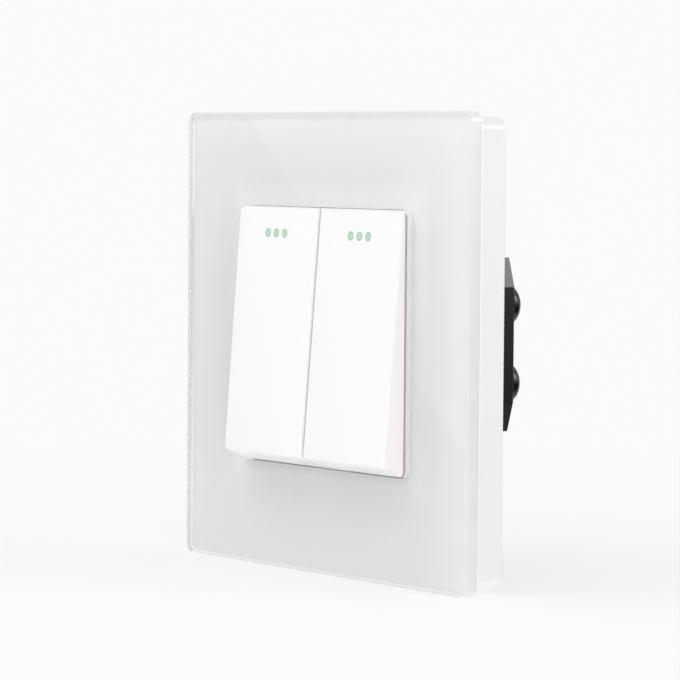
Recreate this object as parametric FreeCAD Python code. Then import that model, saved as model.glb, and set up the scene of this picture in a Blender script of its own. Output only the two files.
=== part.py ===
import FreeCAD, Part
import math
import os

# Double push button wall switch with a glass panel, in millimetres.
# X runs to the right, Z up and Y from the front towards the wall. The origin is the middle of the switch
# on the wall plane y = 0, so the panel, frame and keys lie at negative y and the mechanism at positive y.

# Glass panel and the film behind it
panel_size = 86.0
glass_thickness = 3.0
glass_corner = 2.0
glass_arris = 0.4
window_width = 51.2
window_height = 48.6
window_rise = 1.0
window_corner = 1.6
film_thickness = 0.3
film_inset = 0.5
window_clearance = 0.3

# Cover frame
frame_depth = 5.8
frame_inset = 1.0
frame_corner = 2.4
frame_wall = 1.6
frame_face = 1.5
frame_edge_cut = 0.4
window_wall = 1.2
rib_thickness = 1.0
rib_height = 2.3
rib_offset = 14.0
hook_x = 20.0
hook_from_plate_edge = 3.5
hook_width = 6.0
hook_thickness = 1.2
hook_barb = 1.0
hook_barb_length = 0.9
hook_clearance = 0.3
catch_play = 0.05

# Key carrier, the ring behind the window
carrier_gap = 0.2
carrier_wall = 0.8
carrier_front_play = 0.1
bay_setback = 0.1
foot_z = 15.0
foot_width = 5.0
foot_barb = 0.6
post_half_width = 1.3
post_below_pin = 2.2
post_front_margin = 1.4
post_rear_gap = 0.3

# Keys
key_side_clearance = 0.5
key_top_clearance = 0.15
key_bottom_clearance = 0.35
key_centre_gap = 0.6
key_tilt = 4.7
key_top_proud = 0.4
key_foot_rise = 2.0
key_draft = 6.5
key_draft_start = 1.2
key_face_wall = 1.6
key_side_wall = 1.4
key_edge_round = 0.6
key_corner = 1.3
skirt_top_depth = 6.4
skirt_bottom_depth = 3.1
key_rib_thickness = 1.0
key_rib_height = 2.2
key_rib_spacing = 12.0
key_travel = 4.0
pin_radius = 0.9
pin_clearance = 0.05
pin_from_top = 3.3
pin_depth = 4.9
pin_engagement = 0.8
pin_bite = 0.6
boss_gap = 0.4
notch_clearance = 0.7
dot_radius = 0.85
dot_depth = 0.8
dot_pitch = 2.6
dot_from_top = 4.9
dot_count = 3
dot_sides = 12

# Support plate
plate_gap = 3.9
plate_thickness = 1.0
plate_corner_cut = 8.0
opening_margin = 4.1
screw_spacing = 60.0
screw_slot_radius = 2.1
screw_slot_length = 8.2
side_flange_height = 44.0
side_flange_depth = 4.6
side_flange_bend = 0.8

# Mechanism cover
flange_overlap_x = 2.0
flange_overlap_z = 1.0
flange_end_gap = 0.9
flange_thickness = 1.2
sleeve_clearance = 0.2
sleeve_wall = 1.2
sleeve_depth = 3.0
guide_wall = 1.2
guide_clearance = 0.2
guide_depth = 2.5
cover_rib = 1.0
snap_x = 12.0
snap_width = 5.0
snap_height = 0.9
snap_front = 1.2
snap_length = 1.4
snap_side_play = 0.3

# Rear housing
housing_wall = 2.5
housing_corner = 2.0
housing_front_depth = 12.0
housing_front_floor = 2.0
housing_rear_width = 42.0
housing_rear_height = 32.4
housing_depth = 20.7
housing_rear_floor = 2.7
corner_cut_x = 1.6
corner_cut_z = 5.45
housing_edge_cut = 0.5
trough_clearance = 0.8
trough_length = 23.2
well_clearance = 0.6
pocket_clearance = 0.1

# Plungers, which slide along Y
plunger_x = 11.0
stem_width = 6.0
stem_chamfer = 0.5
key_contact_play = 0.05
key_rocker_radius = 1.5
rocker_width = 4.4
plunger_head_height = 2.75
plunger_stop_play = 0.05
plunger_flange = 9.0
plunger_flange_thickness = 1.2
plunger_body_x = 7.0
plunger_body_z = 7.6
slot_front_wall = 0.85
slot_length = 3.0
slot_side_play = 0.2
plunger_web = 1.0
spring_bore_depth = 1.9

# Springs
return_spring_radius = 2.1
return_spring_wire = 0.45
contact_spring_radius = 1.5
contact_spring_wire = 0.4

# Contacts and terminals
bridge_thickness = 0.8
bridge_width = 4.0
bridge_length = 18.0
bridge_corner_cut = 1.0
contact_size = 3.0
contact_height = 0.8
contact_bevel = 0.3
contact_play = 0.1
strip_thickness = 0.8
strip_width = 5.0
strip_overhang = 2.4
strip_corner_cut = 1.0
terminal_x = 16.4
terminal_z = 7.3
block_width = 6.0
block_length = 6.3
wire_radius = 1.6
wire_from_front = 3.0
screw_radius = 1.95
screw_clearance = 0.05
screw_bite = 1.4
screw_hole_radius = 2.2
screw_head_radius = 4.1
screw_head_height = 3.1
screw_crown_radius = 3.1
screw_head_play = 0.05
screw_cross_width = 0.9
screw_cross_length = 3.8
screw_cross_depth = 1.1

# Planes across the depth
frame_front = -frame_depth
film_front = frame_front - film_thickness
glass_front = film_front - glass_thickness
plate_front = -plate_thickness
carrier_front = frame_front + carrier_front_play
cover_front = plate_front - flange_thickness

# The ring, which stands round the window's outline
bay_half_x = window_width / 2 + bay_setback
bay_half_z = window_height / 2 + bay_setback
carrier_half_x = bay_half_x + carrier_wall
carrier_half_z = bay_half_z + carrier_wall

# The plate, its opening and what lies on both sides of it
plate_size = panel_size - 2 * (frame_inset + frame_wall + plate_gap)
hook_middle = plate_size / 2 - hook_from_plate_edge
opening_width = window_width - 2 * opening_margin
flange_width = opening_width + 2 * flange_overlap_x
flange_height = 2 * (bay_half_z - window_rise - flange_end_gap)
opening_height = flange_height - 2 * flange_overlap_z
housing_width = opening_width + 2 * housing_wall
housing_height = opening_height + 2 * housing_wall

# The keys in the window
key_inner_x = key_centre_gap / 2
key_outer_x = window_width / 2 - key_side_clearance
key_centre_x = (key_inner_x + key_outer_x) / 2
key_top_z = window_rise + window_height / 2 - key_top_clearance
key_bottom_z = window_rise - window_height / 2 + key_bottom_clearance
pin_z = key_top_z - pin_from_top
pin_y = glass_front + pin_depth
tilt = math.radians(key_tilt)

# The plungers and contacts, each plane worked out from the one in front of it
stroke = pin_z * math.radians(key_travel)
plunger_front = cover_front - plunger_head_height
rocker_tip = plunger_front - key_contact_play
plunger_shoulder = guide_depth + plunger_stop_play
body_front = plunger_shoulder + plunger_flange_thickness
slot_front = body_front + slot_front_wall
slot_rear = slot_front + slot_length
bore_floor = slot_rear + plunger_web
plunger_rear = bore_floor + spring_bore_depth
moving_contact_tip = slot_rear + contact_height
fixed_contact_tip = moving_contact_tip + stroke + contact_play
strip_front = fixed_contact_tip + contact_height
ledge = strip_front + strip_thickness
well_floor = housing_depth - housing_rear_floor
block_rear = ledge + block_length
wire_y = ledge + wire_from_front
screw_tip = block_rear - screw_bite

SIDES = {"left": -1, "right": 1}
ENDS = {"upper": 1, "lower": -1}


def vec(x, y, z):
    return FreeCAD.Vector(x, y, z)


def box(x0, x1, y0, y1, z0, z1):
    """Box between two opposite corners."""
    return Part.makeBox(x1 - x0, y1 - y0, z1 - z0, vec(x0, y0, z0))


def block_at(x, z, size_x, size_z, y0, y1):
    """Box centred on (x, z), from plane y0 to plane y1."""
    return box(x - size_x / 2, x + size_x / 2, y0, y1, z - size_z / 2, z + size_z / 2)


def rod_y(x, z, radius, y0, y1):
    """Cylinder along Y."""
    return Part.makeCylinder(radius, y1 - y0, vec(x, y0, z), vec(0, 1, 0))


def rod_x(y, z, radius, x0, x1):
    """Cylinder along X."""
    return Part.makeCylinder(radius, x1 - x0, vec(x0, y, z), vec(1, 0, 0))


def rod_z(x, y, radius, z0, z1):
    """Cylinder along Z."""
    return Part.makeCylinder(radius, z1 - z0, vec(x, y, z0), vec(0, 0, 1))


def rounded_block(width, height, corner, y0, y1):
    """Block centred on the Y axis with its four edges along Y rounded."""
    solid = block_at(0, 0, width, height, y0, y1)
    long_edges = [e for e in solid.Edges if abs(e.Length - (y1 - y0)) < 1e-6 and along_y(e)]
    return solid.makeFillet(corner, long_edges)


def along_y(edge):
    """True for a straight edge that runs along Y."""
    first, last = edge.Vertexes[0].Point, edge.Vertexes[-1].Point
    return abs(first.x - last.x) < 1e-6 and abs(first.z - last.z) < 1e-6


def prism_x(outline, x0, x1):
    """Outline of (y, z) points extruded along X."""
    points = [vec(x0, y, z) for y, z in outline]
    face = Part.Face(Part.makePolygon(points + points[:1]))
    return face.extrude(vec(x1 - x0, 0, 0))


def prism_y(outline, y0, y1):
    """Outline of (x, z) points extruded along Y."""
    points = [vec(x, y0, z) for x, z in outline]
    face = Part.Face(Part.makePolygon(points + points[:1]))
    return face.extrude(vec(0, y1 - y0, 0))


def prism_z(outline, z0, z1):
    """Outline of (x, y) points extruded along Z."""
    points = [vec(x, y, z0) for x, y in outline]
    face = Part.Face(Part.makePolygon(points + points[:1]))
    return face.extrude(vec(0, 0, z1 - z0))


def in_window(shape):
    """A shape made about the Y axis, raised to the middle of the window."""
    shape.translate(vec(0, 0, window_rise))
    return shape


def edges_on_plane(solid, y):
    """The edges that lie wholly in the plane of this y."""
    found = []
    for edge in solid.Edges:
        bounds = edge.BoundBox
        if abs(bounds.YMin - y) < 1e-6 and abs(bounds.YMax - y) < 1e-6:
            found.append(edge)
    return found


def joined(first, others):
    """One solid made of a first one and all that touch it."""
    return first.fuse(others).removeSplitter()


def group(solids):
    """Separate solids that share one node."""
    return Part.makeCompound(solids)


def glass_panel():
    """Square glass sheet with a polished arris and the window for the keys."""
    sheet = rounded_block(panel_size, panel_size, glass_corner, glass_front, film_front)
    arrises = edges_on_plane(sheet, glass_front) + edges_on_plane(sheet, film_front)
    sheet = sheet.makeChamfer(glass_arris, arrises)
    opening = in_window(rounded_block(window_width, window_height, window_corner, glass_front, film_front))
    return sheet.cut(opening)


def behind_window(y0, y1):
    """The window, widened by the clearance of what lies behind the glass."""
    width = window_width + 2 * window_clearance
    height = window_height + 2 * window_clearance
    return in_window(block_at(0, 0, width, height, y0, y1))


def backing_film():
    """Light sheet stuck on the back of the glass."""
    size = panel_size - 2 * film_inset
    sheet = rounded_block(size, size, glass_corner, film_front, frame_front)
    return sheet.cut(behind_window(film_front, frame_front))


def frame_ribs():
    """Stiffening ribs between the window wall and the skirt, clear of the box screws."""
    rear = frame_front + frame_face + rib_height
    front = frame_front + frame_face
    inner_x = window_width / 2
    inner_z = window_height / 2
    outer = panel_size / 2 - frame_inset - frame_wall / 2
    ribs = []
    for sign in (-1, 1):
        for offset in (-rib_offset, rib_offset):
            middle_z = sign * (inner_z + outer) / 2
            upright = block_at(offset, middle_z, rib_thickness, outer - inner_z, front, rear)
            middle_x = sign * (inner_x + outer) / 2
            level = block_at(middle_x, offset, outer - inner_x, rib_thickness, front, rear)
            ribs += [upright, level]
    return ribs


def frame_hook(sign_x, sign_z):
    """Snap hook that reaches through a slot in the plate and catches behind it."""
    x0 = sign_x * hook_x - hook_width / 2
    x1 = sign_x * hook_x + hook_width / 2
    leg_in = hook_middle - hook_thickness / 2
    leg_out = hook_middle + hook_thickness / 2
    tip = catch_play + hook_barb_length
    outline = [
        (frame_front + frame_face, leg_in),
        (tip, leg_in),
        (tip, leg_out),
        (catch_play, leg_out + hook_barb),
        (catch_play, leg_out),
        (frame_front + frame_face, leg_out),
    ]
    return prism_x([(y, sign_z * z) for y, z in outline], x0, x1)


def cover_frame():
    """White frame that fills the space between the glass and the wall."""
    size = panel_size - 2 * frame_inset
    shell = rounded_block(size, size, frame_corner, frame_front, 0)
    shell = shell.makeChamfer(frame_edge_cut, edges_on_plane(shell, frame_front))
    hollow_size = size - 2 * frame_wall
    hollow = block_at(0, 0, hollow_size, hollow_size, frame_front + frame_face, 0)
    shell = shell.cut(hollow)
    hole_width = 2 * (carrier_half_x + carrier_gap)
    hole_height = 2 * (carrier_half_z + carrier_gap)
    wall_width = hole_width + 2 * window_wall
    wall_height = hole_height + 2 * window_wall
    collar = in_window(block_at(0, 0, wall_width, wall_height, frame_front + frame_face / 2, plate_front))
    hooks = [frame_hook(sx, sz) for sx in (-1, 1) for sz in (-1, 1)]
    frame = joined(shell, [collar] + frame_ribs() + hooks)
    return frame.cut(in_window(block_at(0, 0, hole_width, hole_height, frame_front, plate_front)))


def carrier_foot(sign_x, sign_z):
    """Snap foot of the ring, through a slot in the plate."""
    inner = bay_half_x
    outer = carrier_half_x
    tip = catch_play + hook_barb_length
    outline = [
        (inner, plate_front - flange_thickness),
        (inner, tip),
        (outer, tip),
        (outer + foot_barb, catch_play),
        (outer, catch_play),
        (outer, plate_front - flange_thickness),
    ]
    points = [(sign_x * x, y) for x, y in outline]
    middle = sign_z * foot_z
    return prism_z(points, middle - foot_width / 2, middle + foot_width / 2)


def key_carrier():
    """White ring behind the glass, with bearings for the hinge pins of both keys."""
    ring = block_at(0, 0, 2 * carrier_half_x, 2 * carrier_half_z, carrier_front, plate_front)
    bay = block_at(0, 0, 2 * bay_half_x, 2 * bay_half_z, carrier_front, plate_front)
    ring = in_window(ring.cut(bay))
    post_rear = cover_front - post_rear_gap
    post = box(-post_half_width, post_half_width, pin_y - post_front_margin, post_rear,
               pin_z - post_below_pin, window_rise + bay_half_z + carrier_wall / 2)
    feet = [carrier_foot(sx, sz) for sx in (-1, 1) for sz in (-1, 1)]
    ring = joined(ring, [post] + feet)
    return ring.cut(rod_x(pin_y, pin_z, pin_radius + pin_clearance, -carrier_half_x - 1, carrier_half_x + 1))


def key_face_y(z):
    """Where the tilted front face of a key lies at this height."""
    return glass_front - key_top_proud - (key_top_z - z) * math.tan(tilt)


def skirt_y(z):
    """Rear edge of a key's skirt at this height, shallower at the bottom so that it can swing in."""
    share = (key_top_z - z) / (key_top_z - key_bottom_z)
    return glass_front + skirt_top_depth + share * (skirt_bottom_depth - skirt_top_depth)


def key_outline():
    """Side view of a key: a wedge whose bottom end slopes back to the glass."""
    foot_z_front = key_bottom_z + key_foot_rise
    return [
        (skirt_y(key_top_z), key_top_z),
        (key_face_y(key_top_z), key_top_z),
        (key_face_y(foot_z_front), foot_z_front),
        (glass_front, key_bottom_z),
        (skirt_y(key_bottom_z), key_bottom_z),
    ]


def key_hollow():
    """Side view of the space inside a key."""
    wall = key_face_wall / math.cos(tilt)
    top = key_top_z - key_face_wall
    bottom = key_bottom_z + key_face_wall
    foot = bottom + key_foot_rise
    return [
        (0, top),
        (key_face_y(top) + wall, top),
        (key_face_y(foot) + wall, foot),
        (glass_front, bottom),
        (0, bottom),
    ]


def face_band(depth):
    """Side view of a layer of this depth behind the key's front face."""
    top = key_top_z - key_face_wall / 2
    bottom = key_bottom_z + key_foot_rise
    return [
        (key_face_y(top) + key_face_wall / 2, top),
        (key_face_y(bottom) + key_face_wall / 2, bottom),
        (key_face_y(bottom) + depth, bottom),
        (key_face_y(top) + depth, top),
    ]


def key_ribs():
    """Two cross ribs and one long rib under the front face."""
    band = prism_x(face_band(key_face_wall + key_rib_height), key_inner_x + key_side_wall / 2,
                   key_outer_x - key_side_wall / 2)
    reach = panel_size
    ribs = []
    for z in (-key_rib_spacing, key_rib_spacing):
        ribs.append(band.common(block_at(0, z, reach, key_rib_thickness, -reach, 0)))
    long_rib = block_at(plunger_x, 0, key_rib_thickness, reach, -reach, 0)
    ribs.append(band.common(long_rib))
    return ribs


def key_rocker():
    """Round-ended rib that presses the plunger."""
    centre = rocker_tip - key_rocker_radius
    x0 = plunger_x - rocker_width / 2
    x1 = plunger_x + rocker_width / 2
    rib = box(x0, x1, key_face_y(0) + key_face_wall / 2, centre, -key_rocker_radius, key_rocker_radius)
    return [rib, rod_x(centre, 0, key_rocker_radius, x0, x1)]


def dot_places():
    """Centres of the glow inserts on the front face of the right key."""
    z = key_top_z - dot_from_top
    first = -(dot_count - 1) / 2
    return [vec(key_centre_x + (first + i) * dot_pitch, key_face_y(z), z) for i in range(dot_count)]


def dot_insert(place):
    """Glow insert let into the front face, square to it."""
    inward = vec(0, math.cos(tilt), -math.sin(tilt))
    across = vec(1, 0, 0)
    upward = across.cross(inward)
    rim = []
    for i in range(dot_sides + 1):
        turn = 2 * math.pi * i / dot_sides
        rim.append(place + across * (dot_radius * math.cos(turn)) + upward * (dot_radius * math.sin(turn)))
    return Part.Face(Part.makePolygon(rim)).extrude(inward * dot_depth)


def key_edges_to_round(solid):
    """The edges all round the front face of a key."""
    normal = vec(0, -math.cos(tilt), math.sin(tilt))
    origin = vec(0, key_face_y(0), 0)
    chosen = []
    for edge in solid.Edges:
        if all(abs((v.Point - origin).dot(normal)) < 1e-4 for v in edge.Vertexes):
            chosen.append(edge)
    return chosen


def key_draft_wedge():
    """What the mould draft takes off the outer side of a key."""
    start = glass_front + key_draft_start
    far = key_face_y(key_bottom_z) - 1
    inset = (start - far) * math.tan(math.radians(key_draft))
    outline = [(key_outer_x, start), (key_outer_x + 1, far), (key_outer_x - inset, far)]
    return prism_z(outline, key_bottom_z - 1, key_top_z + 1)


def key_corner_shape():
    """Block as high as a key whose edges along Y are rounded; it stands for the key's outer corners."""
    height = key_top_z - key_bottom_z
    shape = rounded_block(2 * key_outer_x, height, key_corner, key_face_y(key_bottom_z) - 1, 0)
    shape.translate(vec(0, 0, (key_top_z + key_bottom_z) / 2))
    return shape


def right_key():
    """Hollow wedge-shaped key with its hinge pins, ribs and rocker."""
    solid = prism_x(key_outline(), key_inner_x, key_outer_x)
    solid = solid.common(key_corner_shape()).removeSplitter()
    solid = solid.cut(key_draft_wedge())
    solid = solid.makeFillet(key_edge_round, key_edges_to_round(solid))
    solid = solid.cut(prism_x(key_hollow(), key_inner_x + key_side_wall, key_outer_x - key_side_wall))
    boss_x0 = post_half_width + boss_gap
    boss_x1 = boss_x0 + key_side_wall
    notch_bottom = pin_z - post_below_pin - notch_clearance
    notch_front = pin_y - post_front_margin - notch_clearance
    boss = box(boss_x0, boss_x1, key_face_y(key_top_z) + key_face_wall / 2, skirt_y(key_top_z),
               notch_bottom - key_side_wall, key_top_z - key_face_wall / 2)
    shelf = box(key_inner_x, boss_x1, notch_front - key_face_wall, skirt_y(notch_bottom),
                notch_bottom - key_side_wall, notch_bottom)
    solid = joined(solid, key_ribs() + key_rocker() + [boss, shelf])
    solid = solid.cut(box(key_inner_x - 1, boss_x0, notch_front, 0, notch_bottom, key_top_z + 1))
    half_wall = key_side_wall / 2
    inner_pin = rod_x(pin_y, pin_z, pin_radius, boss_x0 - boss_gap - pin_engagement, boss_x0 + half_wall)
    outer_pin = rod_x(pin_y, pin_z, pin_radius, key_outer_x - half_wall, bay_half_x + pin_bite)
    solid = joined(solid, [inner_pin, outer_pin])
    return solid.cut([dot_insert(place) for place in dot_places()])


def mirrored(shape):
    """The same piece on the other side of the middle plane."""
    return shape.mirror(vec(0, 0, 0), vec(1, 0, 0))


def on_side(shape, sign):
    """A piece made for the right side, or its mirror image for the left."""
    return shape if sign > 0 else mirrored(shape)


def slot_y(x, z, along_x, y0, y1):
    """Round-ended screw slot through the plate."""
    half = screw_slot_length / 2 - screw_slot_radius
    step = (half, 0) if along_x else (0, half)
    size_x = 2 * half if along_x else 2 * screw_slot_radius
    size_z = 2 * screw_slot_radius if along_x else 2 * half
    middle = block_at(x, z, size_x, size_z, y0, y1)
    ends = [rod_y(x + s * step[0], z + s * step[1], screw_slot_radius, y0, y1) for s in (-1, 1)]
    return middle.fuse(ends).removeSplitter()


def support_plate():
    """Steel plate with screw slots, hook slots and bent side flanges."""
    half = plate_size / 2
    cut = plate_corner_cut
    outline = [(half, half - cut), (half - cut, half), (cut - half, half), (-half, half - cut),
               (-half, cut - half), (cut - half, -half), (half - cut, -half), (half, cut - half)]
    plate = prism_y(outline, plate_front, 0)
    flanges = [block_at(s * (half - plate_thickness / 2), 0, plate_thickness, side_flange_height,
                        plate_front, side_flange_depth) for s in (-1, 1)]
    plate = joined(plate, flanges)
    bends = [e for e in edges_on_plane(plate, plate_front)
             if abs(abs(e.CenterOfMass.x) - half) < 1e-6 and abs(e.CenterOfMass.z) < 1e-6]
    plate = plate.makeFillet(side_flange_bend, bends)
    cuts = [block_at(0, 0, opening_width, opening_height, plate_front, 0)]
    for sign in (-1, 1):
        cuts.append(slot_y(sign * screw_spacing / 2, 0, True, plate_front, 0))
        cuts.append(slot_y(0, sign * screw_spacing / 2, False, plate_front, 0))
        for other in (-1, 1):
            hook_size_x = hook_width + 2 * hook_clearance
            hook_size_z = hook_thickness + 2 * hook_clearance
            hook_slot = block_at(sign * hook_x, other * hook_middle, hook_size_x, hook_size_z, plate_front, 0)
            cuts.append(hook_slot)
            foot_size_x = carrier_wall + 2 * hook_clearance
            foot_x = carrier_half_x - carrier_wall / 2
            foot_size_z = foot_width + 2 * hook_clearance
            cuts.append(block_at(sign * foot_x, other * foot_z, foot_size_x, foot_size_z, plate_front, 0))
    return plate.cut(cuts)


def snap_bumps():
    """Wedges on the sleeve that catch in the housing's windows."""
    half = opening_height / 2 - sleeve_clearance
    bumps = []
    for sign_z in (-1, 1):
        outline = [(snap_front, half - sleeve_wall / 2), (snap_front, half + snap_height),
                   (snap_front + snap_length, half), (snap_front + snap_length, half - sleeve_wall / 2)]
        for x in (-snap_x, snap_x):
            points = [(y, sign_z * z) for y, z in outline]
            bumps.append(prism_x(points, x - snap_width / 2, x + snap_width / 2))
    return bumps


def mechanism_cover():
    """Black front half of the mechanism: flange, sleeve and two plunger guides."""
    flange = block_at(0, 0, flange_width, flange_height, cover_front, plate_front)
    sleeve_front = plate_front - flange_thickness / 2
    outside_x = opening_width - 2 * sleeve_clearance
    outside_z = opening_height - 2 * sleeve_clearance
    inside_x = outside_x - 2 * sleeve_wall
    inside_z = outside_z - 2 * sleeve_wall
    sleeve = block_at(0, 0, outside_x, outside_z, sleeve_front, sleeve_depth)
    sleeve = sleeve.cut(block_at(0, 0, inside_x, inside_z, plate_front, sleeve_depth))
    hole = stem_width + 2 * guide_clearance
    outside = hole + 2 * guide_wall
    guides = [block_at(s * plunger_x, 0, outside, outside, sleeve_front, guide_depth) for s in (-1, 1)]
    web_rear = guide_depth - cover_rib
    webs = [block_at(0, 0, inside_x + sleeve_wall, cover_rib, sleeve_front, web_rear),
            block_at(0, 0, cover_rib, inside_z + sleeve_wall, sleeve_front, web_rear)]
    cover = joined(flange, [sleeve] + guides + webs + snap_bumps())
    return cover.cut([block_at(s * plunger_x, 0, hole, hole, cover_front, guide_depth) for s in (-1, 1)])


def housing_shell():
    """Outside of the rear housing: a square front tier and a lower rear tier with cut corners."""
    front = rounded_block(housing_width, housing_height, housing_corner, 0, housing_front_depth)
    front = front.makeChamfer(housing_edge_cut, edges_on_plane(front, housing_front_depth))
    x = housing_rear_width / 2
    z = housing_rear_height / 2
    cx, cz = corner_cut_x, corner_cut_z
    outline = [(x, z - cz), (x - cx, z), (cx - x, z), (-x, z - cz),
               (-x, cz - z), (cx - x, -z), (x - cx, -z), (x, cz - z)]
    rear = prism_y(outline, housing_front_depth - housing_front_floor, housing_depth)
    rear = rear.makeChamfer(housing_edge_cut, edges_on_plane(rear, housing_depth))
    return joined(front, [rear])


def snap_windows():
    """Windows in the housing's walls for the cover's snap wedges."""
    windows = []
    middle = (opening_height + housing_wall) / 2
    for sign_z in (-1, 1):
        for x in (-snap_x, snap_x):
            windows.append(block_at(x, sign_z * middle, snap_width + 2 * snap_side_play, housing_wall + 1,
                                    snap_front - catch_play, snap_front + snap_length + snap_side_play))
    return windows


def side_cavities(sign):
    """Everything hollowed out of the housing for one of the two switches."""
    trough_x0 = plunger_x - plunger_body_x / 2 - trough_clearance
    trough_x1 = terminal_x + block_width / 2 + trough_clearance
    half_trough = trough_length / 2
    trough = box(trough_x0, trough_x1, housing_front_depth - housing_front_floor, ledge,
                 -half_trough, half_trough)
    foot_room = block_at(plunger_x, 0, plunger_body_x + well_clearance, plunger_body_z + well_clearance,
                         ledge, plunger_rear + stroke + well_clearance)
    well_radius = return_spring_radius + return_spring_wire + well_clearance / 2
    well = rod_y(plunger_x, 0, well_radius, ledge, well_floor)
    cavities = [trough, foot_room, well]
    pocket = block_width + 2 * pocket_clearance
    for end in (-1, 1):
        z = end * terminal_z
        cavities.append(block_at(terminal_x, z, pocket, pocket, ledge, block_rear + pocket_clearance))
        cavities.append(rod_y(terminal_x, z, screw_hole_radius, block_rear, housing_depth))
        z0, z1 = sorted((z, end * (housing_rear_height / 2 + 1)))
        cavities.append(rod_z(terminal_x, wire_y, wire_radius, z0, z1))
    return [on_side(cavity, sign) for cavity in cavities]


def rear_housing():
    """Black rear half of the mechanism with terminal pockets and wire entries."""
    shell = housing_shell()
    bay_depth = housing_front_depth - housing_front_floor
    bay = block_at(0, 0, opening_width, opening_height, 0, bay_depth)
    cavities = side_cavities(-1) + side_cavities(1)
    return shell.cut([bay] + snap_windows() + cavities)


def plunger(x):
    """Plunger with a square stem, a stop flange, a slot for the bridge and a bore for its spring."""
    stem = block_at(x, 0, stem_width, stem_width, plunger_front, body_front)
    stem = stem.makeChamfer(stem_chamfer, edges_on_plane(stem, plunger_front))
    flange = block_at(x, 0, plunger_flange, plunger_flange, plunger_shoulder, body_front)
    body = block_at(x, 0, plunger_body_x, plunger_body_z, body_front, plunger_rear)
    solid = joined(stem, [flange, body])
    slot = block_at(x, 0, bridge_width + 2 * slot_side_play, plunger_body_z, slot_front, slot_rear)
    bore_radius = return_spring_radius + return_spring_wire / 2 + slot_side_play
    bore = rod_y(x, 0, bore_radius, bore_floor, plunger_rear)
    return solid.cut([slot, bore])


def coil_sleeve(x, radius, wire, y0, y1):
    """The room that a coil of this mean radius and wire takes: a tube as thick as the wire."""
    outer = rod_y(x, 0, radius + wire / 2, y0, y1)
    return outer.cut(rod_y(x, 0, radius - wire / 2, y0, y1))


def return_spring(x):
    """Spring between the plunger's bore and the floor of its well."""
    return coil_sleeve(x, return_spring_radius, return_spring_wire, bore_floor, well_floor)


def contact_spring(x):
    """Spring that presses the bridge against the rear of its slot."""
    front_of_bridge = slot_rear - bridge_thickness
    return coil_sleeve(x, contact_spring_radius, contact_spring_wire, slot_front, front_of_bridge)


def contact_bridge(x):
    """Moving bridge across the slot of a plunger, with bevelled ends."""
    w, l, c = bridge_width / 2, bridge_length / 2, bridge_corner_cut
    outline = [(x + w, l - c), (x + w - c, l), (x - w + c, l), (x - w, l - c),
               (x - w, c - l), (x - w + c, -l), (x + w - c, -l), (x + w, c - l)]
    return prism_y(outline, slot_rear - bridge_thickness, slot_rear)


def contact_tip(x, z, y0, y1, face):
    """Square silver tip welded on a strip or bridge, bevelled round the face that makes contact."""
    tip = block_at(x, z, contact_size, contact_size, y0, y1)
    return tip.makeChamfer(contact_bevel, edges_on_plane(tip, face))


def moving_contacts(x):
    """The pair of tips on one bridge."""
    return group([contact_tip(x, s * terminal_z, slot_rear, moving_contact_tip, moving_contact_tip)
                  for s in (1, -1)])


def fixed_contacts():
    """The tips on all fixed strips."""
    places = [(sx * plunger_x, sz * terminal_z) for sx in (-1, 1) for sz in (1, -1)]
    return group([contact_tip(x, z, fixed_contact_tip, strip_front, fixed_contact_tip) for x, z in places])


def contact_strip(sign, end):
    """Fixed strip from its contact tip to its terminal block, with the free corners cut."""
    z = end * terminal_z
    x0 = plunger_x - strip_overhang
    x1 = terminal_x + block_width / 2
    w, c = strip_width / 2, strip_corner_cut
    outline = [(x1, z + w), (x0 + c, z + w), (x0, z + w - c), (x0, z - w + c), (x0 + c, z - w), (x1, z - w)]
    return on_side(prism_y(outline, strip_front, ledge), sign)


def terminal_block(sign, end):
    """Brass pillar terminal with a wire hole across it and a screw hole from the rear."""
    z = end * terminal_z
    pillar = block_at(terminal_x, z, block_width, block_width, ledge, block_rear)
    wire_hole = rod_z(terminal_x, wire_y, wire_radius, z - block_width, z + block_width)
    screw_hole = rod_y(terminal_x, z, screw_radius + screw_clearance, wire_y, block_rear)
    return on_side(pillar.cut([wire_hole, screw_hole]), sign)


def terminal_screw(x, z):
    """Screw with a wide sloping head and a cross recess, backed off the rear face."""
    under = housing_depth + screw_head_play
    top = under + screw_head_height
    shank = rod_y(x, z, screw_radius, screw_tip, under)
    head = Part.makeCone(screw_head_radius, screw_crown_radius, top - under, vec(x, under, z), vec(0, 1, 0))
    floor = top - screw_cross_depth
    cross = [block_at(x, z, screw_cross_length, screw_cross_width, floor, top),
             block_at(x, z, screw_cross_width, screw_cross_length, floor, top)]
    return joined(shank, [head]).cut(cross)


def terminal_screws():
    """The screws of all pillar terminals."""
    places = [(sx * terminal_x, sz * terminal_z) for sx in (-1, 1) for sz in (1, -1)]
    return group([terminal_screw(x, z) for x, z in places])


def export(name, shape):
    """Write one node's solids, and say what they are."""
    shape.exportStep("parts/" + name + ".step")
    volumes = [round(s.Volume, 2) for s in shape.Solids]
    print(name, len(volumes), volumes[:4], shape.isValid())


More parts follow.
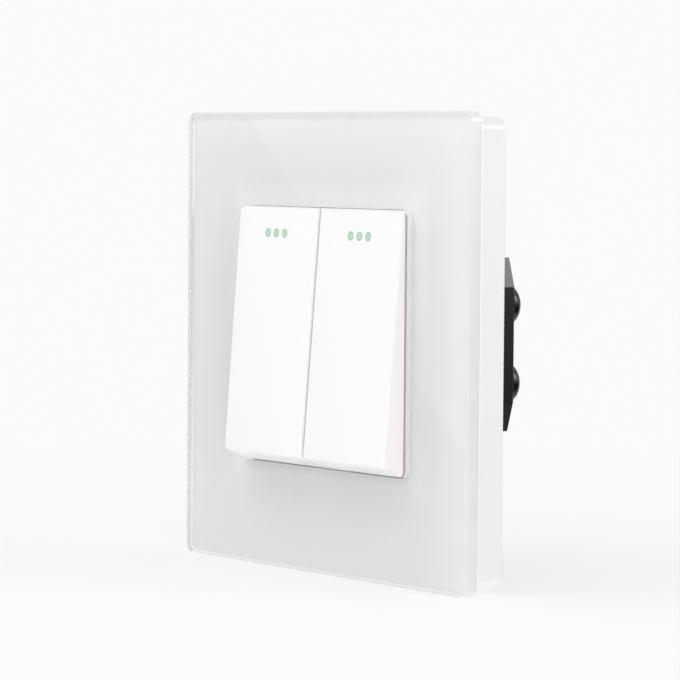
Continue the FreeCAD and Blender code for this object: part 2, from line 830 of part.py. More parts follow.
def main():
    os.makedirs("parts", exist_ok=True)
    export("glass_panel", glass_panel())
    export("backing_film", backing_film())
    export("cover_frame", cover_frame())
    export("key_carrier", key_carrier())
    export("support_plate", support_plate())
    export("mechanism_cover", mechanism_cover())
    export("rear_housing", rear_housing())
    key = right_key()
    dots = group([dot_insert(place) for place in dot_places()])
    for side, sign in SIDES.items():
        x = sign * plunger_x
        export("key_" + side, on_side(key, sign))
        export("dot_inserts_" + side, on_side(dots, sign))
        export("plunger_" + side, plunger(x))
        export("return_spring_" + side, return_spring(x))
        export("contact_bridge_" + side, contact_bridge(x))
        export("moving_contacts_" + side, moving_contacts(x))
        export("contact_spring_" + side, contact_spring(x))
        for end, up in ENDS.items():
            export("contact_strip_" + side + "_" + end, contact_strip(sign, up))
            export("terminal_block_" + side + "_" + end, terminal_block(sign, up))
    export("fixed_contacts", fixed_contacts())
    export("terminal_screws", terminal_screws())
    print("stroke", round(stroke, 4), "pin", round(pin_y, 3), round(pin_z, 3), "wire y", round(wire_y, 3))


main()
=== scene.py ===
import math

import bmesh
import bpy
import numpy as np
from mathutils import Matrix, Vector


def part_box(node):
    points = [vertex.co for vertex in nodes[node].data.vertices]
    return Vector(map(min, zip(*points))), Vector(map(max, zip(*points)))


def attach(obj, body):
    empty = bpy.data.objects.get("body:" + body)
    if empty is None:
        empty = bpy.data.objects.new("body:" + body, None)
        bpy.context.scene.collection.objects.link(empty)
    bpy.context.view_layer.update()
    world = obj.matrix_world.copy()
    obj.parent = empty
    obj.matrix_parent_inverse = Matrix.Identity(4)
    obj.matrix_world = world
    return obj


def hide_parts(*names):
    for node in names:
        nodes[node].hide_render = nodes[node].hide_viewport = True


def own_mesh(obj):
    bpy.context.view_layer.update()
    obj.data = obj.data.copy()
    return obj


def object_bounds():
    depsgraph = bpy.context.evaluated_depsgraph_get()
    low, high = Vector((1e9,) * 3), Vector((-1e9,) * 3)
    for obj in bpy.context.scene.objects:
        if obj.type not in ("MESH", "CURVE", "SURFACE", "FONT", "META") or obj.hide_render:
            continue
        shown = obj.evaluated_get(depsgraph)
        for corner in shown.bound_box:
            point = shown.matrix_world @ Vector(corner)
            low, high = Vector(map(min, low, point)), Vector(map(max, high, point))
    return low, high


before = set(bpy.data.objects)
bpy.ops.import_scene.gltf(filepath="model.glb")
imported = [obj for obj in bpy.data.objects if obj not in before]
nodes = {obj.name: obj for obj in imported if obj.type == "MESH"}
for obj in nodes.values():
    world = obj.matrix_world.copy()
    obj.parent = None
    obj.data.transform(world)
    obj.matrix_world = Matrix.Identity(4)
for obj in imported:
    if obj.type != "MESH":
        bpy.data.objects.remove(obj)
cad_box = [list(corner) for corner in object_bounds()]

MM = 0.001
SIDES = ("left", "right")

# Planes along Y, panel and window, in metres, as in the part's source
GLASS_FRONT = -9.1 * MM
GLASS_BACK = -6.1 * MM
FILM_BACK = -5.8 * MM
PANEL_HALF = 43.0 * MM
PANEL_CORNER = 2.0 * MM
WINDOW_HALF_X = 25.6 * MM
WINDOW_HALF_Z = 24.3 * MM
WINDOW_RISE = 1.0 * MM
WINDOW_CORNER = 1.6 * MM

# The film is bonded, so its face lies a hair inside the glass. Its edge all but meets the window's.
FILM_FRONT = -6.12 * MM
FILM_INSET = 0.45 * MM
FILM_CLEARANCE = 0.01 * MM

# Radii of the glass's arrises, on the front and on the back
OUTER_ARRIS = 0.5 * MM
WINDOW_ARRIS = 0.12 * MM
BACK_OUTER_ARRIS = 0.45 * MM
BACK_WINDOW_ARRIS = 0.02 * MM

# The hair between two points or loops that keeps a straight side straight when it is shaded smooth
GUARD = 0.02 * MM

# Terminal screws: places, thread, head and cross recess
SCREW_X = 16.4 * MM
SCREW_Z = 7.3 * MM
THREAD_CORE = 1.62 * MM
THREAD_DEPTH = 0.33 * MM
THREAD_PITCH = 0.7 * MM
POINT_RADIUS = 1.2 * MM
POINT_LENGTH = 0.5 * MM
HEAD_HEIGHT = 3.1 * MM
HEAD_RADIUS = 4.1 * MM
HEAD_CHAMFER = 0.2 * MM
RIM_HEIGHT = 0.5 * MM
RECESS_HALF_WIDTH = 0.55 * MM
RECESS_FLANK = 0.14 * MM
RECESS_DEPTH = 1.1 * MM
RECESS_STRETCH = 4.2

# Springs: radius of the coil, thickness of the wire, turns
SPRINGS = {"return": (2.1 * MM, 0.45 * MM, 6.5), "contact": (1.5 * MM, 0.4 * MM, 3.5)}

# Angles in degrees at which a CAD piece's smooth shading is split
SPLIT = 28
HOUSING_SPLIT = 12


def linear(code):
    """Colour written as an sRGB hex code, turned linear, with alpha 1."""
    c = np.array([int(code[i:i + 2], 16) for i in (0, 2, 4)]) / 255
    c = np.where(c <= 0.04045, c / 12.92, ((c + 0.055) / 1.055) ** 2.4)
    return (*c.tolist(), 1.0)


def add(tree, kind, sockets=None, **settings):
    """One node with its settings; each socket is given a value or another node's output."""
    made = tree.nodes.new("ShaderNode" + kind)
    for key, value in settings.items():
        setattr(made, key, value)
    for key, value in (sockets or {}).items():
        if isinstance(value, bpy.types.NodeSocket):
            tree.links.new(value, made.inputs[key])
        else:
            made.inputs[key].default_value = value
    return made


def material(name):
    """Empty node material with its output, and the object's own coordinates in metres."""
    made = bpy.data.materials.new(name)
    made.use_nodes = True
    tree = made.node_tree
    tree.nodes.clear()
    place = add(tree, "TexCoord").outputs["Object"]
    return made, tree, place


def finish_with(tree, shader):
    add(tree, "OutputMaterial", {"Surface": shader.outputs[0]})


def moulded_plastic(name, light, dark, roughness, grain_mm, relief_mm, edge_mm=0.12, **settings):
    """Injection moulded plastic. light and dark are the two shades between which the colour drifts over
    some 20 mm, as flow and cooling leave it. grain_mm and relief_mm are the size and height of the
    mould's texture. Edges look rounded by edge_mm, as a mould leaves them."""
    made, tree, place = material(name)
    drift = add(tree, "TexNoise", {"Vector": place, "Scale": 1 / 0.02, "Detail": 3.0})
    shade = add(tree, "Mix", {"Factor": drift.outputs["Fac"], 6: linear(light), 7: linear(dark)},
                data_type="RGBA")
    rub = add(tree, "TexNoise", {"Vector": place, "Scale": 1 / 0.006, "Detail": 5.0})
    gloss = add(tree, "MapRange", {"Value": rub.outputs["Fac"], "From Min": 0.3, "From Max": 0.7,
                                   "To Min": roughness * 0.95, "To Max": roughness * 1.05})
    grain = add(tree, "TexNoise", {"Vector": place, "Scale": 1 / (grain_mm * MM), "Detail": 2.0})
    edge = add(tree, "Bevel", {"Radius": edge_mm * MM}, samples=4)
    relief = add(tree, "Bump", {"Height": grain.outputs["Fac"], "Distance": relief_mm * MM,
                                "Normal": edge.outputs["Normal"]})
    shader = add(tree, "BsdfPrincipled", {"Base Color": shade.outputs[2], "Roughness": gloss.outputs[0],
                                          "Normal": relief.outputs[0], **settings})
    finish_with(tree, shader)
    return made


def worked_metal(name, light, dark, roughness, streak_mm, relief_mm, stretch=(1, 1, 1), edge_mm=0.08):
    """Bare or plated metal. The noise that varies its colour, roughness and relief has streaks of
    streak_mm, drawn out along an axis by stretch, as rolling, drawing or tumbling leaves them."""
    made, tree, place = material(name)
    turned = add(tree, "Mapping", {"Vector": place, "Scale": stretch})
    streak = add(tree, "TexNoise", {"Vector": turned.outputs[0], "Scale": 1 / (streak_mm * MM),
                                    "Detail": 6.0, "Roughness": 0.65})
    shade = add(tree, "Mix", {"Factor": streak.outputs["Fac"], 6: linear(dark), 7: linear(light)},
                data_type="RGBA")
    gloss = add(tree, "MapRange", {"Value": streak.outputs["Fac"], "From Min": 0.25, "From Max": 0.75,
                                   "To Min": roughness * 1.3, "To Max": roughness * 0.7})
    edge = add(tree, "Bevel", {"Radius": edge_mm * MM}, samples=4)
    relief = add(tree, "Bump", {"Height": streak.outputs["Fac"], "Distance": relief_mm * MM,
                                "Normal": edge.outputs["Normal"]})
    shader = add(tree, "BsdfPrincipled", {"Base Color": shade.outputs[2], "Metallic": 1.0,
                                          "Roughness": gloss.outputs[0], "Normal": relief.outputs[0]})
    finish_with(tree, shader)
    return made


def float_glass():
    """Soda-lime float glass, low in iron: the faces are clear and sharp. The float bath leaves them very
    slightly wavy, some 15 mm from crest to crest and a tenth of a micrometre high."""
    made, tree, place = material("float_glass_polished_edges")
    wave = add(tree, "TexNoise", {"Vector": place, "Scale": 1 / 0.015, "Detail": 1.0})
    relief = add(tree, "Bump", {"Height": wave.outputs["Fac"], "Distance": 0.0001 * MM})
    shader = add(tree, "BsdfPrincipled", {"Base Color": linear("fcfdfd"), "Roughness": 0.0, "IOR": 1.52,
                                          "Transmission Weight": 1.0, "Normal": relief.outputs[0]})
    finish_with(tree, shader)
    return made


def printed_film():
    """Polyester film, screen printed pale grey on its back: even and soft, with a trace of mottle from
    the ink. The mottle is 3 mm wide and a hundredth deep. Beside the window the colour is painted lighter,
    up to white: painted light that stands for the light the glass's polished edge throws back onto the
    film, which straight shadow rays miss."""
    made, tree, place = material("printed_polyester_film")
    mottle = add(tree, "TexNoise", {"Vector": place, "Scale": 1 / 0.003, "Detail": 4.0})
    shade = add(tree, "Mix", {"Factor": mottle.outputs["Fac"], 6: linear("f4f5f7"), 7: linear("f3f4f6")},
                data_type="RGBA")
    at = add(tree, "SeparateXYZ", {"Vector": place}).outputs
    off_x = add(tree, "Math", {0: at["X"]}, operation="ABSOLUTE")
    past_x = add(tree, "Math", {0: off_x.outputs[0], 1: WINDOW_HALF_X}, operation="SUBTRACT")
    rise = add(tree, "Math", {0: at["Z"], 1: WINDOW_RISE}, operation="SUBTRACT")
    off_z = add(tree, "Math", {0: rise.outputs[0]}, operation="ABSOLUTE")
    past_z = add(tree, "Math", {0: off_z.outputs[0], 1: WINDOW_HALF_Z}, operation="SUBTRACT")
    past = add(tree, "Math", {0: past_x.outputs[0], 1: past_z.outputs[0]}, operation="MAXIMUM")
    # Painted light: within 6 mm of the window the film's colour is lifted towards white
    near = add(tree, "MapRange", {"Value": past.outputs[0], "From Min": 0.0, "From Max": 6 * MM,
                                  "To Min": 1.0, "To Max": 0.0}, interpolation_type="SMOOTHSTEP")
    tone = add(tree, "Mix", {"Factor": near.outputs[0], 6: shade.outputs[2], 7: linear("ffffff")},
               data_type="RGBA")
    shader = add(tree, "BsdfPrincipled", {"Base Color": tone.outputs[2], "Roughness": 0.5, "IOR": 1.57})
    finish_with(tree, shader)
    return made


def key_resin():
    """Polycarbonate from a polished mould. The fronts are lacquered white and smooth, also round the edges
    and into the gap between the keys. The outer sides are not quite as smooth, and their colour is a painted
    warm tint that stands for warm light on them. Below the glass front their colour is darkened, a painted
    shade that stands for the shade of the printed edge, except on top. This painted shade is for the eye
    alone, so the light that they throw back onto the film isn't lessened."""
    made, tree, place = material("moulded_white_polycarbonate")
    facing = add(tree, "SeparateXYZ", {"Vector": add(tree, "TexCoord").outputs["Normal"]}).outputs
    sideways = add(tree, "MapRange", {"Value": facing["Y"], "From Min": -0.4, "From Max": -0.1})
    at = add(tree, "SeparateXYZ", {"Vector": place}).outputs
    off_middle = add(tree, "Math", {0: at["X"]}, operation="ABSOLUTE")
    outer = add(tree, "MapRange", {"Value": off_middle.outputs[0], "From Min": 3 * MM, "From Max": 6 * MM})
    outer_sides = add(tree, "Math", {0: sideways.outputs[0], 1: outer.outputs[0]}, operation="MULTIPLY")
    # Painted shade: behind the glass front the outer sides' colour is darkened to 45 percent, not on faces
    # turned up
    sunk = add(tree, "MapRange", {"Value": at["Y"], "From Min": GLASS_FRONT,
                                  "From Max": GLASS_FRONT + 0.12 * MM})
    upwards = add(tree, "MapRange", {"Value": facing["Z"], "From Min": 0.3, "From Max": 0.6,
                                     "To Min": 0.55, "To Max": 0.0})
    shaded = add(tree, "Math", {0: sunk.outputs[0], 1: upwards.outputs[0]}, operation="MULTIPLY")
    drift = add(tree, "TexNoise", {"Vector": place, "Scale": 1 / 0.02, "Detail": 3.0})
    lacquer = add(tree, "Mix", {"Factor": drift.outputs["Fac"], 6: linear("f8f8f8"), 7: linear("f7f7f7")},
                  data_type="RGBA")
    # Painted warm tint: the outer sides' colour is a little warm, standing for warm light on them
    painted_warm_side = add(tree, "Mix", {"Factor": drift.outputs["Fac"], 6: linear("fff9f7"), 7: linear("fef7f5")},
                data_type="RGBA")
    shade = add(tree, "Mix", {"Factor": outer_sides.outputs[0], 6: lacquer.outputs[2], 7: painted_warm_side.outputs[2]},
                data_type="RGBA")
    # The painted shade is kept out of diffuse rays, so it shows to the eye alone
    seen = add(tree, "Math", {0: 1.0, 1: add(tree, "LightPath").outputs["Is Diffuse Ray"]},
               operation="SUBTRACT")
    shown = add(tree, "Math", {0: seen.outputs[0], 1: shaded.outputs[0]}, operation="MULTIPLY")
    shadow = add(tree, "Math", {0: outer_sides.outputs[0], 1: shown.outputs[0]}, operation="MULTIPLY")
    rest = add(tree, "Math", {0: 1.0, 1: shadow.outputs[0]}, operation="SUBTRACT")
    toned = add(tree, "VectorMath", {0: shade.outputs[2], "Scale": rest.outputs[0]}, operation="SCALE")
    gloss = add(tree, "MapRange", {"Value": outer_sides.outputs[0], "To Min": 0.25, "To Max": 0.35})
    ripple = add(tree, "TexNoise", {"Vector": place, "Scale": 1 / 0.0015, "Detail": 2.0})
    edge = add(tree, "Bevel", {"Radius": 0.12 * MM}, samples=4)
    relief = add(tree, "Bump", {"Height": ripple.outputs["Fac"], "Distance": 0.001 * MM,
                                "Normal": edge.outputs["Normal"]})
    shader = add(tree, "BsdfPrincipled", {"Base Color": toned.outputs[0], "Roughness": gloss.outputs[0],
                                          "IOR": 1.58, "Normal": relief.outputs[0]})
    finish_with(tree, shader)
    return made


def phosphor_acrylic():
    """Acrylic with glow pigment: pale green and milky. Near the rim of each disc, found by how far a round
    edge would turn the surface there, the green is painted deeper and darker: a painted shade that stands
    for the shade round the rim."""
    made, tree, place = material("phosphor_acrylic")
    cloud = add(tree, "TexNoise", {"Vector": place, "Scale": 1 / 0.0006, "Detail": 2.0})
    milky = add(tree, "Mix", {"Factor": cloud.outputs["Fac"], 6: linear("b9dcc4"), 7: linear("b0d5bc")},
                data_type="RGBA")
    round_edge = add(tree, "Bevel", {"Radius": 0.4 * MM}, samples=8)
    surface = add(tree, "NewGeometry").outputs["Normal"]
    level = add(tree, "VectorMath", {0: round_edge.outputs["Normal"], 1: surface}, operation="DOT_PRODUCT")
    # Painted shade: near the rim the colour is mixed towards a darker green
    rim = add(tree, "MapRange", {"Value": level.outputs["Value"], "From Min": 0.85, "From Max": 0.995,
                                 "To Min": 1.0, "To Max": 0.0})
    shade = add(tree, "Mix", {"Factor": rim.outputs[0], 6: milky.outputs[2], 7: linear("74b588")},
                data_type="RGBA")
    shader = add(tree, "BsdfPrincipled", {"Base Color": shade.outputs[2], "Roughness": 0.3})
    finish_with(tree, shader)
    return made


# ABS, polished mould: white, glossy, with a faint ripple
abs_white = moulded_plastic("moulded_white_abs", "e3e4e6", "e1e2e4", 0.3, 1.2, 0.001, edge_mm=0.2)
# Polyamide with glass fibre, eroded mould: black, fine texture, dull sheen
pa_black = moulded_plastic("moulded_black_polyamide", "121214", "0e0e10", 0.27, 0.35, 0.003, edge_mm=0.12)
# Acetal: milky white, waxy
pom_white = moulded_plastic("moulded_natural_acetal", "eceae3", "e4e2da", 0.38, 0.8, 0.004,
                            **{"Subsurface Weight": 0.3, "Subsurface Scale": 0.001})
# Steel, pressed and zinc plated: pale blue grey, fine rolling streaks along X
steel_zinc = worked_metal("zinc_plated_steel", "d6dadd", "c8cdd1", 0.34, 0.5, 0.0012, (0.12, 1, 1))
# Spring steel wire, drawn: grey, smooth
steel_wire = worked_metal("drawn_spring_steel", "b9bbbd", "96989b", 0.28, 0.3, 0.002)
# Tin bronze strip, rolled: warm brown gold
bronze = worked_metal("rolled_tin_bronze", "d29a62", "b87f4c", 0.3, 0.4, 0.003, (0.15, 1, 1))
# Brass, sawn from bar and tumbled: yellow, fine marks
brass = worked_metal("tumbled_brass", "d9b45c", "c29a45", 0.27, 0.35, 0.004, (1, 0.2, 1))
# Silver alloy, cold headed: bright, soft shine
silver = worked_metal("cold_headed_silver", "eeeae2", "d8d4cc", 0.2, 0.4, 0.002)
# Steel screw, blackened and oiled: near black with a wet shine
steel_black = worked_metal("blackened_oiled_steel", "4a4a4d", "2c2c2f", 0.24, 0.4, 0.003)
glass = float_glass()
film_grey = printed_film()
keys_white = key_resin()
glow_green = phosphor_acrylic()

FINISHES = {
    "glass_panel": glass,
    "backing_film": film_grey,
    "cover_frame": abs_white,
    "key_carrier": abs_white,
    "key_": keys_white,
    "dot_inserts_": glow_green,
    "support_plate": steel_zinc,
    "mechanism_cover": pa_black,
    "rear_housing": pa_black,
    "plunger_": pom_white,
    "return_spring_": steel_wire,
    "contact_spring_": steel_wire,
    "contact_bridge_": bronze,
    "contact_strip_": bronze,
    "moving_contacts_": silver,
    "fixed_contacts": silver,
    "terminal_block_": brass,
    "terminal_screws": steel_black,
}


def finish_of(name):
    """The finish whose key is the longest that the node's name starts with."""
    fits = [key for key in FINISHES if name.startswith(key)]
    return FINISHES[max(fits, key=len)]


def dress_frame():
    """Every CAD node gets its finish. Its loose triangles are welded and shaded smooth, and split
    where two faces meet at more than 28 degrees, so that rounds are smooth and edges stay sharp. On the
    rear housing 12 degrees are enough, as its slanted faces leave the sides at 16."""
    for name, part in nodes.items():
        part.data.materials.clear()
        part.data.materials.append(finish_of(name))
        part.data.polygons.foreach_set("use_smooth", np.ones(len(part.data.polygons), bool))
        weld = part.modifiers.new("weld", "WELD")
        weld.merge_threshold = 2e-6
        split = part.modifiers.new("split", "EDGE_SPLIT")
        split.split_angle = math.radians(HOUSING_SPLIT if name == "rear_housing" else SPLIT)
        split.use_edge_sharp = False


def make_mesh(name, sheets, finish):
    """One mesh from sheets, each a grid of points of shape (rows, columns, 3). Neighbours in a grid are
    joined in quads, doubles are merged, which closes seams and poles, and faces are turned outwards."""
    points, faces, start = [], [], 0
    for grid in sheets:
        rows, columns = grid.shape[:2]
        index = start + np.arange(rows * columns).reshape(rows, columns)
        quads = np.stack([index[:-1, :-1], index[:-1, 1:], index[1:, 1:], index[1:, :-1]], axis=-1)
        points.append(grid.reshape(-1, 3))
        faces.append(quads.reshape(-1, 4))
        start += rows * columns
    mesh = bpy.data.meshes.new(name)
    mesh.from_pydata(np.concatenate(points).tolist(), [], np.concatenate(faces).tolist())
    work = bmesh.new()
    work.from_mesh(mesh)
    bmesh.ops.remove_doubles(work, verts=work.verts, dist=1e-6)
    bmesh.ops.dissolve_degenerate(work, edges=work.edges, dist=1e-7)
    bmesh.ops.recalc_face_normals(work, faces=work.faces)
    work.to_mesh(mesh)
    work.free()
    mesh.polygons.foreach_set("use_smooth", np.ones(len(mesh.polygons), bool))
    mesh.materials.append(finish)
    made = bpy.data.objects.new(name, mesh)
    bpy.context.scene.collection.objects.link(made)
    split = made.modifiers.new("split", "EDGE_SPLIT")
    split.split_angle = math.radians(32)
    split.use_edge_sharp = False
    return made


def rounded_outline(half_x, half_z, corner, per_corner=10):
    """Points (x, z) round a rectangle with round corners, closed. Each corner is a quarter circle with one
    more point a hair before and after it, so that the straight sides stay straight when shaded smooth.
    The same number of points lies on any such outline, so two of them can be joined point by point."""
    turn = np.linspace(0, math.pi / 2, per_corner)
    turn = np.concatenate([turn[:1], turn, turn[-1:]])
    ahead = np.zeros(per_corner + 2)
    ahead[0], ahead[-1] = -GUARD, GUARD
    quarter = np.concatenate([turn + k * math.pi / 2 for k in range(4)])
    ahead = np.tile(ahead, 4)
    centre_x = np.repeat([1, -1, -1, 1], per_corner + 2) * (half_x - corner)
    centre_z = np.repeat([1, 1, -1, -1], per_corner + 2) * (half_z - corner)
    x = centre_x + corner * np.cos(quarter) - ahead * np.sin(quarter)
    z = centre_z + corner * np.sin(quarter) + ahead * np.cos(quarter)
    loop = np.stack([x, z], axis=-1)
    return np.concatenate([loop, loop[:1]])


def ring(outlines):
    """Grid of points for a closed ring: outlines is a list of (outline, y), each a loop of (x, z) points
    at its own depth, and the first one is repeated at the end to close the ring's section."""
    loops = [np.insert(outline, 1, y, axis=1) for outline, y in outlines]
    return np.stack(loops + loops[:1])


def revolved(profile, x, z, turns=48):
    """Profile of (radius, y) points carried round the axis through (x, z) along Y:
    point = (x + r cos a, y, z + r sin a)."""
    r, y = np.array(profile, float).T
    a = np.linspace(0, 2 * math.pi, turns + 1)
    return np.stack([x + np.outer(r, np.cos(a)), np.repeat(y[:, None], turns + 1, axis=1),
                     z + np.outer(r, np.sin(a))], axis=-1)


def coil(x, z, radius, wire, y0, y1, turns, steps=40, sides=14):
    """Round wire carried along a helix round the Y axis through (x, z). The pitch is small for the first
    and last turn, whose coils lie on each other, and even between, y following a smooth ramp."""
    count = int(turns * steps) + 1
    t = np.linspace(0, turns, count)
    closed = wire * 1.02
    free = (y1 - y0 - wire - 2 * closed) / (turns - 2)
    pitch = np.where((t < 1) | (t > turns - 1), closed, free)
    pitch = np.convolve(np.pad(pitch, 8, mode="edge"), np.ones(17) / 17, mode="valid")
    y = np.concatenate([[0], np.cumsum((pitch[1:] + pitch[:-1]) / 2 * np.diff(t))])
    y = y0 + wire / 2 + y * (y1 - y0 - wire) / y[-1]
    a = t * 2 * math.pi
    out = np.stack([np.cos(a), np.zeros(count), np.sin(a)], axis=-1)
    middle = out * radius + np.stack([np.full(count, x), y, np.full(count, z)], axis=-1)
    b = np.linspace(0, 2 * math.pi, sides + 1)
    along = np.array([0.0, 1.0, 0.0])
    tube = middle[:, None] + wire / 2 * (np.cos(b)[:, None] * out[:, None] + np.sin(b)[:, None] * along)
    ends = [np.repeat(middle[:1, None], sides + 1, axis=1), np.repeat(middle[-1:, None], sides + 1, axis=1)]
    return np.concatenate([ends[0], tube, ends[1]])


def place(piece, body, node, slot_name):
    """The piece rides on its body and stands for its CAD node, which it hides. slot_name is not used."""
    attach(piece, body)
    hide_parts(node)
    return piece


def panel_outline(grow):
    """The panel's outline, moved outwards by grow."""
    return rounded_outline(PANEL_HALF + grow, PANEL_HALF + grow, PANEL_CORNER + grow)


def window_outline(grow):
    """The window's outline, moved outwards by grow."""
    outline = rounded_outline(WINDOW_HALF_X + grow, WINDOW_HALF_Z + grow, WINDOW_CORNER + grow)
    return outline + [0, WINDOW_RISE]


def arris(outline, sign, radius, face, inwards, steps=6):
    """Loops over a quarter round of this radius between the glass face at y = face and an edge's wall: at
    the angle t the loop lies radius (1 - sin t) in from the wall and radius (1 - cos t) in from the face.
    sign is 1 where the glass lies inside the outline and -1 where it lies outside it. inwards is the way
    into the glass along Y. The round ends in two loops a hair apart, so that the flat faces next to it
    stay flat when shaded smooth."""
    t = np.linspace(0, math.pi / 2, steps)
    in_from_wall = np.concatenate([[radius + GUARD], radius * (1 - np.sin(t)), [0.0]])
    in_from_face = np.concatenate([[0.0], radius * (1 - np.cos(t)), [radius + GUARD]])
    return [(outline(-sign * w), face + inwards * f) for w, f in zip(in_from_wall, in_from_face)]


def make_glass():
    """Glass panel with a window. Its section runs down the outer edge, across the back, up the window's
    edge and across the front. The front arrises are rounded, those on the back only taken off."""
    section = arris(panel_outline, 1, OUTER_ARRIS, GLASS_FRONT, 1)
    section += arris(panel_outline, 1, BACK_OUTER_ARRIS, GLASS_BACK, -1)[::-1]
    section += arris(window_outline, -1, BACK_WINDOW_ARRIS, GLASS_BACK, -1)
    section += arris(window_outline, -1, WINDOW_ARRIS, GLASS_FRONT, 1)[::-1]
    panel = make_mesh("float_glass_panel", [ring(section)], glass)
    panel.visible_shadow = False
    place(panel, "base", "glass_panel", "clear_glass")


def make_film():
    """Thin sheet with the window cut out. It is bonded to the glass: its printed face lies a hair inside,
    with no air between."""
    outer = panel_outline(-FILM_INSET)
    inner = window_outline(FILM_CLEARANCE)
    sheet = ring([(outer, FILM_FRONT), (inner, FILM_FRONT), (inner, FILM_BACK), (outer, FILM_BACK)])
    place(make_mesh("printed_film", [sheet], film_grey), "base", "backing_film", "backing_sheet")


def make_springs(side):
    """Return spring and contact spring of one side, each in its CAD node's room. The return spring stands
    on the base with a mesh of its own, and the contact spring rides on the plunger."""
    for name, (radius, wire, turns) in SPRINGS.items():
        node = name + "_spring_" + side
        lo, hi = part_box(node)
        x = (lo[0] + hi[0]) / 2
        wound = coil(x, 0.0, radius, wire, lo[1], hi[1], turns)
        piece = make_mesh(name + "_coil_" + side, [wound], steel_wire)
        if name == "return":
            place(piece, "base", node, "spring_steel")
            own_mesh(piece)
        else:
            place(piece, "plunger_" + side, node, "spring_steel")


def screw(x, z, tip, under, top):
    """Terminal screw: threaded shank, domed head, cross recess.
    Thread: radius = core + depth times a triangle wave of (y / pitch - angle / turn).
    Head: the dome is a full curve, radius = rim times sine of s, height over the rim = rise times cosine of
    s to the power 0.8. Recess: within its two crossed arms the surface drops, with sloping flanks, to the
    recess floor."""
    a = np.linspace(0, 2 * math.pi, 97)
    y = np.linspace(tip + POINT_LENGTH, under, 60)
    wave = np.abs(((y[:, None] / THREAD_PITCH - a[None, :] / (2 * math.pi)) % 1) * 2 - 1)
    r = THREAD_CORE + THREAD_DEPTH * wave
    shank = np.stack([x + r * np.cos(a), np.repeat(y[:, None], 97, axis=1), z + r * np.sin(a)], axis=-1)
    point = revolved([(0, tip), (POINT_RADIUS, tip), (THREAD_CORE, tip + POINT_LENGTH)], x, z, 96)
    rim = revolved([(THREAD_CORE, under), (HEAD_RADIUS - HEAD_CHAMFER, under),
                    (HEAD_RADIUS, under + HEAD_CHAMFER), (HEAD_RADIUS, under + RIM_HEIGHT)], x, z, 96)
    s = np.linspace(0, math.pi / 2, 60)
    across = HEAD_RADIUS * np.sin(s)
    px, pz = np.outer(across, np.cos(a)), np.outer(across, np.sin(a))
    rise = top - under - RIM_HEIGHT
    dome = under + RIM_HEIGHT + rise * np.cos(s[:, None]) ** 0.8 * np.ones_like(px)
    ax, az = np.abs(px), np.abs(pz)
    arm = np.minimum(np.maximum(ax, az / RECESS_STRETCH), np.maximum(az, ax / RECESS_STRETCH))
    depth = np.clip((RECESS_HALF_WIDTH - arm) / RECESS_FLANK, 0, 1) * RECESS_DEPTH
    head = np.stack([x + px, dome - depth, z + pz], axis=-1)
    return [point, shank, rim, head]


def make_screws():
    """Four terminal screws, backed off a hair from the rear face, each with its own cross recess."""
    lo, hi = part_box("terminal_screws")
    sheets = []
    for x in (-SCREW_X, SCREW_X):
        for z in (-SCREW_Z, SCREW_Z):
            sheets += screw(x, z, lo[1], hi[1] - HEAD_HEIGHT, hi[1])
    place(make_mesh("terminal_screw_set", sheets, steel_black), "base", "terminal_screws", "black_screw")


def set_camera():
    """Camera of the photograph: long lens, 52.4 degrees to the right of the front, 3.2 degrees up."""
    azimuth, height, roll = math.radians(52.414), math.radians(3.216), math.radians(0.46)
    distance, aside, above = 0.64017, -3.463 * MM, 0.43 * MM
    level = math.cos(height)
    back = np.array([math.sin(azimuth) * level, -math.cos(azimuth) * level, math.sin(height)])
    right = np.cross(-back, [0, 0, 1])
    right /= np.linalg.norm(right)
    up = np.cross(right, -back)
    rolled_right = right * math.cos(roll) + up * math.sin(roll)
    rolled_up = up * math.cos(roll) - right * math.sin(roll)
    stand = back * distance + rolled_right * aside + rolled_up * above
    lens = bpy.data.cameras.new("camera")
    lens.lens = 181.0
    lens.clip_start = 0.01
    camera = bpy.data.objects.new("camera", lens)
    turned = np.eye(4)
    turned[:3, 0], turned[:3, 1], turned[:3, 2], turned[:3, 3] = rolled_right, rolled_up, back, stand
    camera.matrix_world = Matrix(turned.tolist())
    bpy.context.scene.collection.objects.link(camera)
    bpy.context.scene.camera = camera


def lamp(name, place_at, aim, wide, tall, watts):
    """Soft lamp, wide by tall, at a point, turned to another one. Gloss doesn't show it."""
    light = bpy.data.lights.new(name, "AREA")
    light.shape = "RECTANGLE"
    light.size = wide
    light.size_y = tall
    light.energy = watts
    made = bpy.data.objects.new(name, light)
    back = np.array(place_at, float) - np.array(aim, float)
    back /= np.linalg.norm(back)
    right = np.cross([0, 0, 1], back)
    right /= np.linalg.norm(right)
    turned = np.eye(4)
    turned[:3, 0], turned[:3, 1], turned[:3, 2], turned[:3, 3] = right, np.cross(back, right), back, place_at
    made.matrix_world = Matrix(turned.tolist())
    bpy.context.scene.collection.objects.link(made)
    made.visible_camera = False
    made.visible_glossy = False
    return made


